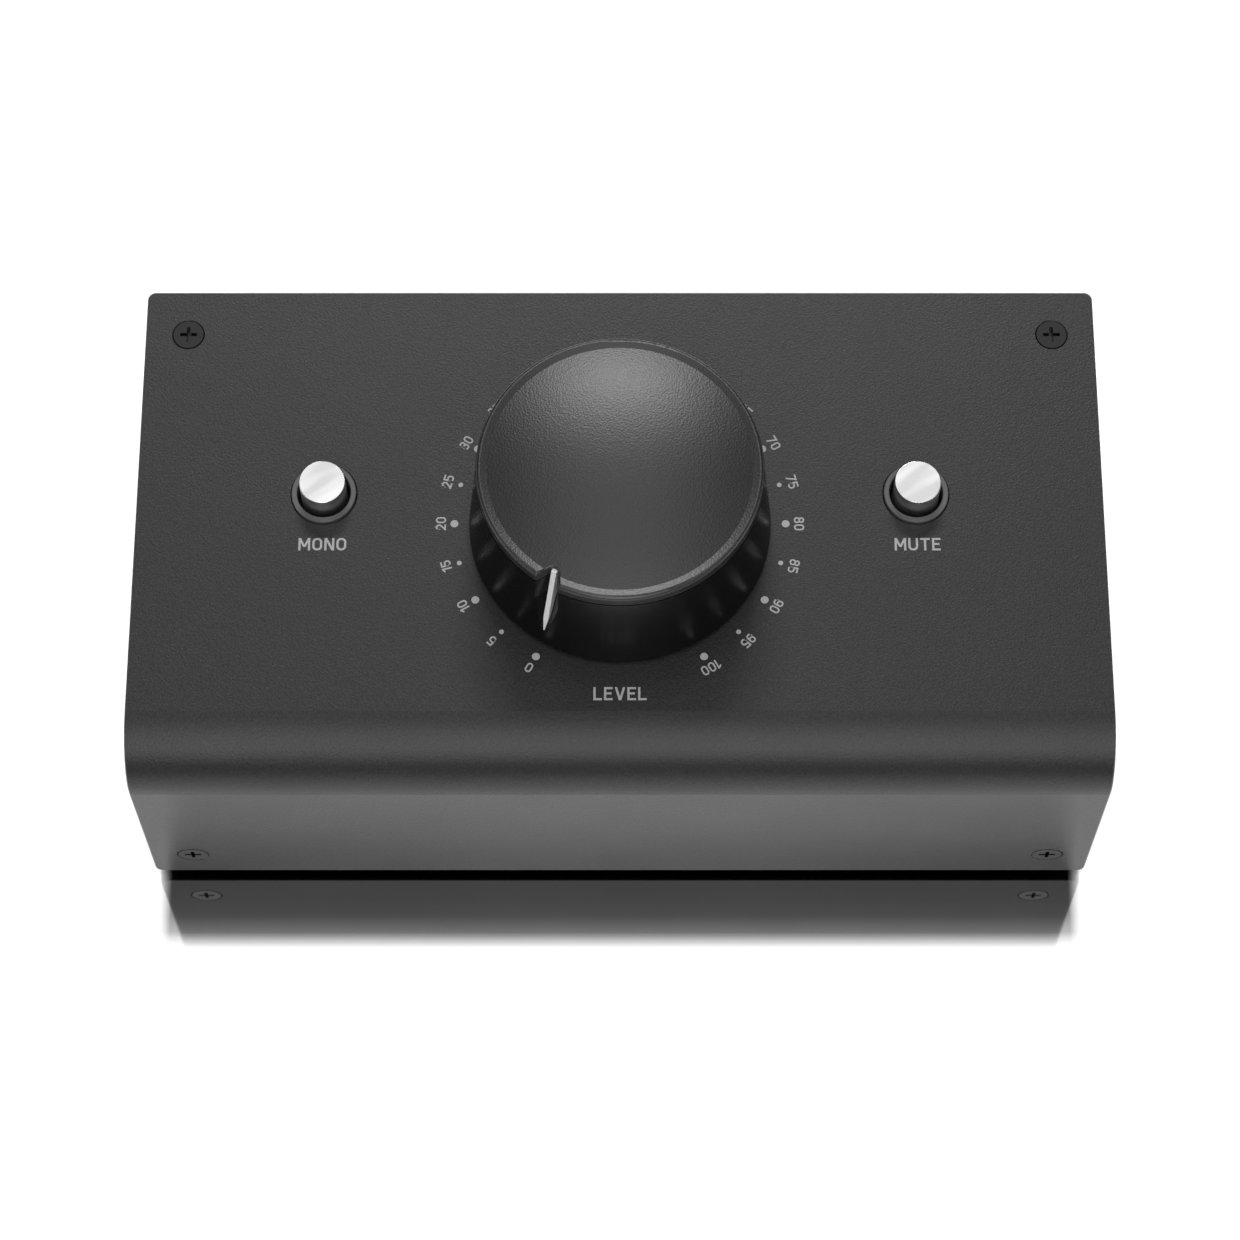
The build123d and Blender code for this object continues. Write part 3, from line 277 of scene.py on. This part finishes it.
# ---------------------------------------------------------------- return springs
def return_spring(name):
    """The coil under a button, which stands on its switch: a copy of the CAD spring that rides on the
    case.
    """
    node = frame["nodes"][f"{name}_spring"]
    piece = bpy.data.objects.new(f"{name}_return_spring", node.data.copy())
    bpy.context.scene.collection.objects.link(piece)
    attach(piece, "case")
    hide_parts(f"{name}_spring")
    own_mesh(piece)


return_spring("mono")
return_spring("mute")


# ---------------------------------------------------------------- printed dial and words
INK_HEIGHT = 0.012 * MM
# each stroke of a word lies this much above the last, so that no two faces share a plane
STROKE_STEP = 0.0006 * MM


def print_on_cover(name, shapes):
    """A mesh object of ink from a bmesh, riding on the case."""
    mesh = bpy.data.meshes.new(name)
    shapes.to_mesh(mesh)
    shapes.free()
    mesh.materials.append(ink)
    piece = bpy.data.objects.new(name, mesh)
    bpy.context.scene.collection.objects.link(piece)
    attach(piece, "case")


def rounded_path(points, closed=False, steps=7):
    """A line through points (x, y) or (x, y, radius), with each corner that has a radius rounded."""
    result = []
    count = len(points)
    for i, point in enumerate(points):
        here = Vector(point[:2])
        radius = point[2] if len(point) > 2 else 0
        inner = closed or 0 < i < count - 1
        if not radius or not inner:
            result.append(here)
            continue
        before = (Vector(points[i - 1][:2]) - here).normalized()
        after = (Vector(points[(i + 1) % count][:2]) - here).normalized()
        half = before.angle(after) / 2
        reach = radius / sin(half) * cos(half)
        start, end = here + before * reach, here + after * reach
        centre = here + (before + after).normalized() * radius / sin(half)
        first, last = start - centre, end - centre
        turn = first.angle_signed(last)
        for step in range(steps + 1):
            result.append(centre + Matrix.Rotation(-turn * step / steps, 2) @ first)
    return result


def ribbon(points, width, closed=False):
    """Left and right edges of a stroke of that width along a line."""
    edges = []
    count = len(points)
    for i, here in enumerate(points):
        before = points[i - 1] if i or closed else None
        after = points[(i + 1) % count] if i < count - 1 or closed else None
        first = (here - before).normalized() if before is not None else None
        second = (after - here).normalized() if after is not None else None
        first = first or second
        second = second or first
        across = (first + second).normalized().orthogonal()
        reach = width / 2 / max(0.3, across.dot(first.orthogonal()))
        edges.append((here + across * reach, here - across * reach))
    return edges


# width of a stroke, half of it, and the centre line of a stroke at the top, for a height of 1
STROKE = 0.158
HALF = STROKE / 2
TOP = 1 - HALF


def slant(start, end):
    """A straight stroke between two heights, cut level at both ends: its four corners."""
    (x0, y0), (x1, y1) = start, end
    length = ((x1 - x0) ** 2 + (y1 - y0) ** 2) ** 0.5
    half = HALF * length / abs(y1 - y0)
    return [(x0 - half, y0), (x0 + half, y0), (x1 + half, y1), (x1 - half, y1)]


def ring(left, right, low, high, radius):
    """A closed stroke round a box with rounded corners."""
    corners = ((left, low), (right, low), (right, high), (left, high))
    return ("loop", [(x, y, radius) for x, y in corners])


def glyph(character):
    """Width of a character, and its strokes, for a height of 1: lines, loops and cut bars."""
    width = {"M": 0.83, "1": 0.4, "L": 0.6, "E": 0.61, "V": 0.74}.get(character, 0.7)
    if character.isdigit() and character != "1":
        width = 0.64
    # centre lines of the left and right stems
    a, b = HALF, width - HALF
    middle_x = width / 2
    bend = (b - a) / 2
    strokes = {
        "L": [("line", [(a, 1), (a, HALF), (width, HALF)])],
        "E": [
            ("line", [(width, TOP), (a, TOP), (a, HALF), (width, HALF)]),
            ("line", [(a, 0.52), (width - 0.08, 0.52)]),
        ],
        "V": [("bar", slant((a, 1), (middle_x, 0))), ("bar", slant((b, 1), (middle_x, 0)))],
        "M": [
            ("line", [(a, 0), (a, 1)]),
            ("line", [(b, 0), (b, 1)]),
            ("bar", slant((a, 1), (middle_x, 0.28))),
            ("bar", slant((b, 1), (middle_x, 0.28))),
        ],
        "N": [
            ("line", [(a, 0), (a, 1)]),
            ("line", [(b, 0), (b, 1)]),
            ("bar", slant((a + 0.02, 1), (b - 0.02, 0))),
        ],
        "O": [ring(a, b, HALF, TOP, bend * 0.95)],
        "U": [("line", [(a, 1), (a, HALF, bend * 0.95), (b, HALF, bend * 0.95), (b, 1)])],
        "T": [("line", [(0, TOP), (width, TOP)]), ("line", [(middle_x, 0), (middle_x, TOP)])],
        "0": [ring(a, b, HALF, TOP, bend * 0.98)],
        "1": [("line", [(b, 0), (b, 1)]), ("line", [(b, TOP), (0.0, 0.72)])],
        "2": [
            ("line", [(a, 0.72), (a, TOP, bend), (b, TOP, bend), (b, 0.58, 0.14), (a + 0.02, HALF)]),
            ("line", [(a - HALF, HALF), (b + HALF, HALF)]),
        ],
        "3": [
            ("line", [(a, 0.76), (a, TOP, 0.18), (b, TOP, 0.18), (b, 0.53, 0.18), (0.24, 0.53)]),
            ("line", [(0.24, 0.53), (b, 0.53, 0.2), (b, HALF, 0.22), (a, HALF, 0.22), (a, 0.26)]),
        ],
        "4": [
            ("bar", slant((a, 0.2), (b - 0.14, 1))),
            ("line", [(a - HALF, 0.28), (b + HALF, 0.28)]),
            ("line", [(b - 0.1, 0), (b - 0.1, 0.55)]),
        ],
        "5": [
            ("line", [(b + 0.02, TOP), (a, TOP), (a, 0.5)]),
            ("line", [(a, 0.58), (b, 0.58, 0.21), (b, HALF, 0.22), (a, HALF, 0.22), (a, 0.25)]),
        ],
        "6": [
            ring(a, b, HALF, 0.57, bend * 0.95),
            ("line", [(a, 0.33), (a, TOP, 0.22), (b, TOP, 0.22), (b, 0.78)]),
        ],
        "7": [("line", [(0, TOP), (width, TOP)]), ("bar", slant((b - 0.01, TOP), (a + 0.12, 0)))],
        "8": [ring(a + 0.02, b - 0.02, 0.53, TOP, 0.19), ring(a, b, HALF, 0.53, 0.21)],
        "9": [
            ring(a, b, 0.43, TOP, bend * 0.95),
            ("line", [(b, 0.67), (b, HALF, 0.22), (a, HALF, 0.22), (a, 0.22)]),
        ],
    }
    return width, strokes[character]


def write_word(mesh, word, centre, height, up, total_width=None, gap=0.15):
    """Adds a word's strokes to a bmesh as thin raised faces, centred on a point of the top face."""
    glyphs = [glyph(character) for character in word]
    natural = sum(width for width, _ in glyphs) + gap * (len(word) - 1)
    stretch = total_width / (natural * height) if total_width else 1
    across = Vector((up.y, -up.x, 0))
    pen = -natural / 2
    lift = INK_HEIGHT
    for width, strokes in glyphs:
        for kind, points in strokes:
            if kind == "bar":
                outline = [[Vector(point) for point in points]]
            else:
                line = rounded_path(points, kind == "loop")
                edges = ribbon(line, STROKE, kind == "loop")
                pairs = list(zip(edges, edges[1:]))
                if kind == "loop":
                    pairs.append((edges[-1], edges[0]))
                outline = [[p[0], q[0], q[1], p[1]] for p, q in pairs]
            for corners in outline:
                places = [
                    centre
                    + across * ((pen + corner[0]) * stretch * height)
                    + up * ((corner[1] - 0.5) * height)
                    + Vector((0, 0, lift))
                    for corner in corners
                ]
                face = mesh.faces.new([mesh.verts.new(place) for place in places])
                face.normal_update()
                if face.normal.z < 0:
                    face.normal_flip()
            lift += STROKE_STEP
        pen += width + gap


# the dial: its marks, with the angles of the first one and between two, in degrees, and its rings
DIAL_MARKS = 21
ZERO_ANGLE = 30
DIAL_STEP = 15
DOT_RING = 22.2 * MM
BIG_DOT = 0.53 * MM
SMALL_DOT = 0.33 * MM
NUMBER_RING = 24.0 * MM
NUMBER_HEIGHT = 1.38 * MM
NUMBER_GAP = 0.13
NUMBER_STEP = 5
# the word under each button's cap, with its width
BUTTON_WORDS = (("MONO", "mono_cap", 6.4 * MM), ("MUTE", "mute_cap", 6.15 * MM))
BUTTON_WORD_HEIGHT = 1.82 * MM
BUTTON_WORD_DROP = 7.4 * MM
DIAL_WORD_HEIGHT = 1.85 * MM
DIAL_WORD_WIDTH = 7.0 * MM
DIAL_WORD_DROP = 24.5 * MM


def dial_direction(index):
    """Outward direction of a mark of the dial, counted clockwise from the zero left of the front."""
    angle = radians(ZERO_ANGLE + DIAL_STEP * index)
    return Vector((-sin(angle), -cos(angle), 0))


def dial_marks():
    """The ring of dots, larger at the tens."""
    mesh = bmesh.new()
    for index in range(DIAL_MARKS):
        radius = SMALL_DOT if index % 2 else BIG_DOT
        place = dial + dial_direction(index) * DOT_RING + Vector((0, 0, INK_HEIGHT))
        bmesh.ops.create_circle(
            mesh, cap_ends=True, segments=40, radius=radius, matrix=Matrix.Translation(place)
        )
    print_on_cover("dial_dots", mesh)


def dial_numbers():
    """Numbers 0 to 100 in steps of 5, their feet towards the knob."""
    mesh = bmesh.new()
    for index in range(DIAL_MARKS):
        out = dial_direction(index)
        number = str(index * NUMBER_STEP)
        write_word(mesh, number, dial + out * NUMBER_RING, NUMBER_HEIGHT, out, gap=NUMBER_GAP)
    print_on_cover("dial_numbers", mesh)


def words():
    """The plain function words at the buttons and the dial."""
    mesh = bmesh.new()
    up = Vector((0, 1, 0))
    for word, node, width in BUTTON_WORDS:
        place = middle(node)
        centre = Vector((place.x, place.y - BUTTON_WORD_DROP, case_top))
        write_word(mesh, word, centre, BUTTON_WORD_HEIGHT, up, width)
    write_word(mesh, "LEVEL", dial - up * DIAL_WORD_DROP, DIAL_WORD_HEIGHT, up, DIAL_WORD_WIDTH)
    print_on_cover("function_words", mesh)


dial_marks()
dial_numbers()
words()


# ---------------------------------------------------------------- floor, light and camera
# angles are in degrees and lengths in metres, but for the camera's lens and sensor in millimetres
FLOOR_HALF_WIDTH = 6
FLOOR_GREY = 0.92
FLOOR_ROUGHNESS = 0.06
# painted reflection: the floor is a dark-grey mirror only in a patch at the foot of the case's front and
# under the case.
# How much it mirrors, by the distance in front of the case as a part of its reach, how far in from the
# case's sides that fades out, and the grey of the patch
PAINTED_REFLECTION_REACH = 12 * MM
PAINTED_REFLECTION_FADE = ((0.0, 1.0), (0.3, 0.99), (0.5, 0.96), (0.7, 0.8), (0.9, 0.0))
PAINTED_REFLECTION_SIDE = 2 * MM
PAINTED_REFLECTION_GREY = 0.14
# brightness of the sky by its lean from upright, from the front (negative) to the rear
SKY_ALONG = (
    (-90, 0.1), (-80, 0.15), (-70, 1.0), (-58, 3.7), (-45, 4.2), (-20, 3.1), (-6, 2.6), (4, 1.2),
    (12, 1.3), (19, 1.9), (28, 0.4), (90, 0.3),
)
# part of it that is left towards the sides, by how far a direction points sideways
SKY_ACROSS = (
    (0.0, 1.0), (0.14, 1.0), (0.3, 0.25), (0.45, 0.12), (0.7, 0.12), (0.85, 0.6), (1.0, 0.6),
)
# a ramp's greys end at 1, so the sky's are divided by this and its light multiplied by it
SKY_STRENGTH = 5
# the floor's own sun, and the strip light by its lean to the rear and its distance from the dial
FLOOR_LIGHT = 1.3
FLOOR_LIGHT_ANGLE = 14
STRIP_LEAN = 43.5
STRIP_DISTANCE = 2.0
STRIP_LENGTH = 0.76
STRIP_WIDTH = 0.22
STRIP_POWER = 13.5
CAMERA_FROM_DIAL = Vector((0, -0.2001, 0.4423))
CAMERA_LEAN = 22.82
CAMERA_LENS = 105.1
CAMERA_SENSOR = 36


def bands(nodes, links, source, stops):
    """A colour ramp through several greys, each at its place from 0 to 1."""
    node = nodes.new("ShaderNodeValToRGB")
    elements = node.color_ramp.elements
    for element, (place, value) in zip(elements, (stops[0], stops[-1])):
        element.position, element.color = place, (value, value, value, 1)
    for place, value in stops[1:-1]:
        elements.new(place).color = (value, value, value, 1)
    links.new(source, node.inputs["Fac"])
    return node.outputs["Color"]


def arithmetic(nodes, links, operation, first, second=None):
    """A math node on one or two sources."""
    node = nodes.new("ShaderNodeMath")
    node.operation = operation
    links.new(first, node.inputs[0])
    if second is not None:
        links.new(second, node.inputs[1])
    return node.outputs["Value"]


def floor():
    """A pale floor with a painted reflection: a dark-grey mirror patch at the foot of the case's front
    and in under the case, fading out ahead and towards the sides.
    """
    mesh = bmesh.new()
    bmesh.ops.create_grid(mesh, x_segments=1, y_segments=1, size=FLOOR_HALF_WIDTH)
    data = bpy.data.meshes.new("floor")
    mesh.to_mesh(data)
    mesh.free()
    plane = bpy.data.objects.new("floor", data)
    bpy.context.scene.collection.objects.link(plane)
    material, nodes, links, shader = new_material("floor")
    set_shader(shader, Roughness=FLOOR_ROUGHNESS, IOR=1.45)
    split = nodes.new("ShaderNodeSeparateXYZ")
    links.new(object_coords(nodes), split.inputs["Vector"])
    front = cover_low.y
    # painted reflection: the mask below makes the floor a dark-grey mirror only next to and under the
    # case, fading with the distance from its front
    ahead = remap(nodes, links, split.outputs["Y"], 0.0, 1.0, front, front - PAINTED_REFLECTION_REACH)
    behind = remap(nodes, links, split.outputs["Y"], 1.0, 0.0, front + PAINTED_REFLECTION_REACH, 0.0)
    aside = arithmetic(nodes, links, "ABSOLUTE", split.outputs["X"])
    within = remap(nodes, links, aside, 1.0, 0.0, cover_high.x - PAINTED_REFLECTION_SIDE, cover_high.x)
    painted_reflection_mask = arithmetic(nodes, links, "MULTIPLY", bands(nodes, links, ahead, PAINTED_REFLECTION_FADE), within)
    painted_reflection_mask = arithmetic(nodes, links, "MULTIPLY", painted_reflection_mask, behind)
    # painted reflection: the floor's grey turns to the dark grey of the mirror patch where the mask is
    # high
    colour = ramp(nodes, links, painted_reflection_mask, grey(FLOOR_GREY), grey(PAINTED_REFLECTION_GREY), 0.0, 1.0)
    links.new(colour, shader.inputs["Base Color"])
    links.new(painted_reflection_mask, shader.inputs["Metallic"])
    data.materials.append(material)
    return plane


def floor_light(plane):
    """Even light from above for the floor alone, as a white background is lit by itself."""
    data = bpy.data.lights.new("floor_light", "SUN")
    data.energy = FLOOR_LIGHT
    data.angle = radians(FLOOR_LIGHT_ANGLE)
    light = bpy.data.objects.new("floor_light", data)
    bpy.context.scene.collection.objects.link(light)
    lit = bpy.data.collections.new("lit_by_floor_light")
    lit.objects.link(plane)
    light.light_linking.receiver_collection = lit


def strip_light():
    """A long soft box high behind the case, parallel to it."""
    data = bpy.data.lights.new("strip_light", "AREA")
    data.shape = "RECTANGLE"
    data.size = STRIP_LENGTH
    data.size_y = STRIP_WIDTH
    data.energy = STRIP_POWER
    light = bpy.data.objects.new("strip_light", data)
    lean = radians(STRIP_LEAN)
    away = Vector((0, sin(lean), cos(lean)))
    light.location = dial + away * STRIP_DISTANCE
    light.rotation_mode = "QUATERNION"
    light.rotation_quaternion = (-away).to_track_quat("-Z", "Y")
    bpy.context.scene.collection.objects.link(light)


def sky():
    """A studio's sky: a broad soft box overhead and in front, dim behind and low in front."""
    world = bpy.data.worlds.new("studio")
    bpy.context.scene.world = world
    world.use_nodes = True
    nodes, links = world.node_tree.nodes, world.node_tree.links
    split = nodes.new("ShaderNodeSeparateXYZ")
    links.new(nodes.new("ShaderNodeTexCoord").outputs["Generated"], split.inputs["Vector"])
    aside = arithmetic(nodes, links, "ABSOLUTE", split.outputs["X"])
    lean = arithmetic(nodes, links, "ARCTAN2", split.outputs["Y"], split.outputs["Z"])
    place = remap(nodes, links, lean, 0.0, 1.0, -pi / 2, pi / 2)
    stops = [(degrees / 180 + 0.5, value / SKY_STRENGTH) for degrees, value in SKY_ALONG]
    along = bands(nodes, links, place, stops)
    both = nodes.new("ShaderNodeMix")
    both.data_type = "RGBA"
    both.blend_type = "MULTIPLY"
    both.inputs["Factor"].default_value = 1
    links.new(along, both.inputs["A"])
    links.new(bands(nodes, links, aside, SKY_ACROSS), both.inputs["B"])
    background = nodes["Background"]
    links.new(both.outputs["Result"], background.inputs["Color"])
    background.inputs["Strength"].default_value = SKY_STRENGTH


def camera():
    """The camera of the photograph: high in front, looking down at the dial."""
    data = bpy.data.cameras.new("camera")
    data.sensor_width = CAMERA_SENSOR
    data.lens = CAMERA_LENS
    view = bpy.data.objects.new("camera", data)
    view.location = dial + CAMERA_FROM_DIAL
    view.rotation_euler = (radians(CAMERA_LEAN), 0, 0)
    bpy.context.scene.collection.objects.link(view)
    bpy.context.scene.camera = view


floor_light(floor())
strip_light()
sky()
camera()
bpy.context.scene.view_settings.view_transform = "Standard"
